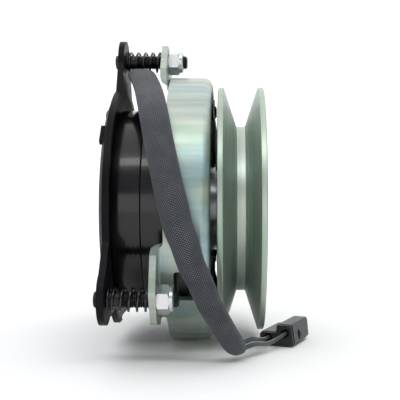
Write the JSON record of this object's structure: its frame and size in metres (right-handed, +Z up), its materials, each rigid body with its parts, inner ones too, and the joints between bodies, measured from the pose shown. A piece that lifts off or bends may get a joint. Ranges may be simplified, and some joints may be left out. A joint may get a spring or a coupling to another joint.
{
  "type": "electromagnetic clutch",
  "caption": "Electromagnetic clutch with a V-belt pulley, a zinc-plated brake cup on spring-loaded adjusting bolts, a black coil field and a woven wiring lead.",
  "frame": {"origin": "on the axis of the crankshaft bore, at the middle of the belt groove", "axes": "+X along the shaft from the engine towards the pulley, +Z up towards the top adjusting bolt and the keyway"},
  "size_m": [0.1131, 0.1728, 0.1722],
  "materials": {
    "black_paint": "gloss black enamel",
    "zinc_plate": "clear-passivated zinc plate, satin, with a faint blue, green and yellow tint",
    "black_oxide": "black oxide, satin",
    "spring_black": "black phosphate, satin",
    "nut_zinc": "bright zinc plate",
    "nylon": "translucent nylon",
    "machined_steel": "turned and ground steel",
    "bearing_steel": "polished bearing steel",
    "bearing_seal": "moulded rubber seal",
    "friction_lining": "dull friction material with metal specks",
    "friction_steel": "blackened steel with a turned face",
    "copper_winding": "enamelled copper wire",
    "bobbin_plastic": "moulded nylon",
    "potting": "cast epoxy",
    "moulded_black": "moulded rubbery plastic",
    "woven_sleeve": "woven glass or nylon sleeving, dark grey",
    "wire_insulation": "smooth insulation, dark grey-green",
    "connector_plastic": "moulded nylon, dark grey",
    "terminal_tin": "tin-plated brass"
  },
  "bodies": {
    "field_assembly": {"field_plate": "black_paint", "field_housing": "black_paint", "field_shell": "black_paint", "coil_bobbin": "bobbin_plastic", "field_coil": "copper_winding", "coil_potting": "potting", "field_rivets": "black_paint", "lead_grommet": "moulded_black", "field_bearing_outer": "bearing_steel", "field_bearing_seals": "bearing_seal", "field_snap_ring": "black_oxide", "adjusting_bolt_1": "black_oxide", "adjusting_bolt_2": "black_oxide", "adjusting_bolt_3": "black_oxide", "adjusting_spring_1": "spring_black", "adjusting_spring_2": "spring_black", "adjusting_spring_3": "spring_black", "lead_sleeve": "woven_sleeve", "lead_wire_1": "wire_insulation", "lead_wire_2": "wire_insulation", "connector_housing": "connector_plastic", "connector_lock": "connector_plastic", "connector_terminals": "terminal_tin"},
    "rotor_assembly": {"hub": "machined_steel", "field_bearing_inner": "bearing_steel", "field_bearing_balls": "bearing_steel", "inner_spacer": "machined_steel", "rotor": "friction_steel", "rotor_lining": "friction_lining", "outer_spacer": "machined_steel", "pulley_bearing_inner": "bearing_steel", "pulley_bearing_balls": "bearing_steel", "hub_snap_ring": "black_oxide"},
    "pulley_assembly": {"pulley": "zinc_plate", "pulley_bearing_outer": "bearing_steel", "pulley_bearing_seals": "bearing_seal", "pulley_snap_ring": "black_oxide", "pulley_rivets": "black_oxide", "leaf_spring_1": "black_oxide", "leaf_spring_2": "black_oxide", "leaf_spring_3": "black_oxide"},
    "armature_assembly": {"armature": "friction_steel", "armature_rivets": "black_oxide"},
    "brake_assembly": {"brake_cup": "zinc_plate", "brake_linings": "friction_lining"},
    "nut_1": {"adjusting_nut_1": "nut_zinc", "nut_insert_1": "nylon"},
    "nut_2": {"adjusting_nut_2": "nut_zinc", "nut_insert_2": "nylon"},
    "nut_3": {"adjusting_nut_3": "nut_zinc", "nut_insert_3": "nylon"}
  },
  "joints": [
    {"name": "rotor_spin", "type": "hinge", "parent": "field_assembly", "child": "rotor_assembly", "pos_m": [0, 0, 0], "axis": [1, 0, 0], "continuous": true},
    {"name": "pulley_spin", "type": "hinge", "parent": "rotor_assembly", "child": "pulley_assembly", "pos_m": [0, 0, 0], "axis": [1, 0, 0], "continuous": true},
    {"name": "armature_pull_in", "type": "slide", "parent": "pulley_assembly", "child": "armature_assembly", "axis": [-1, 0, 0], "range_m": [0, 0.00048], "stiffness_N_per_m": 15000, "springref_m": -0.005, "deforming": ["leaf_spring_1", "leaf_spring_2", "leaf_spring_3"]},
    {"name": "brake_cup_adjust", "type": "slide", "parent": "field_assembly", "child": "brake_assembly", "axis": [1, 0, 0], "range_m": [0, 0.00105], "deforming": ["adjusting_spring_1", "adjusting_spring_2", "adjusting_spring_3"]},
    {"name": "nut_1_turn", "type": "hinge", "parent": "brake_assembly", "child": "nut_1", "pos_m": [-0.03735, 0, 0.085], "axis": [1, 0, 0], "range_deg": [0, 360]},
    {"name": "nut_2_turn", "type": "hinge", "parent": "brake_assembly", "child": "nut_2", "pos_m": [-0.03735, -0.07361, -0.0425], "axis": [1, 0, 0], "range_deg": [0, 360]},
    {"name": "nut_3_turn", "type": "hinge", "parent": "brake_assembly", "child": "nut_3", "pos_m": [-0.03735, 0.07361, -0.0425], "axis": [1, 0, 0], "range_deg": [0, 360]}
  ],
  "couplings": [
    {"joint": "nut_1_turn", "follows": "brake_cup_adjust", "rad_per_m": 5936.9},
    {"joint": "nut_2_turn", "follows": "brake_cup_adjust", "rad_per_m": 5936.9},
    {"joint": "nut_3_turn", "follows": "brake_cup_adjust", "rad_per_m": 5936.9}
  ]
}
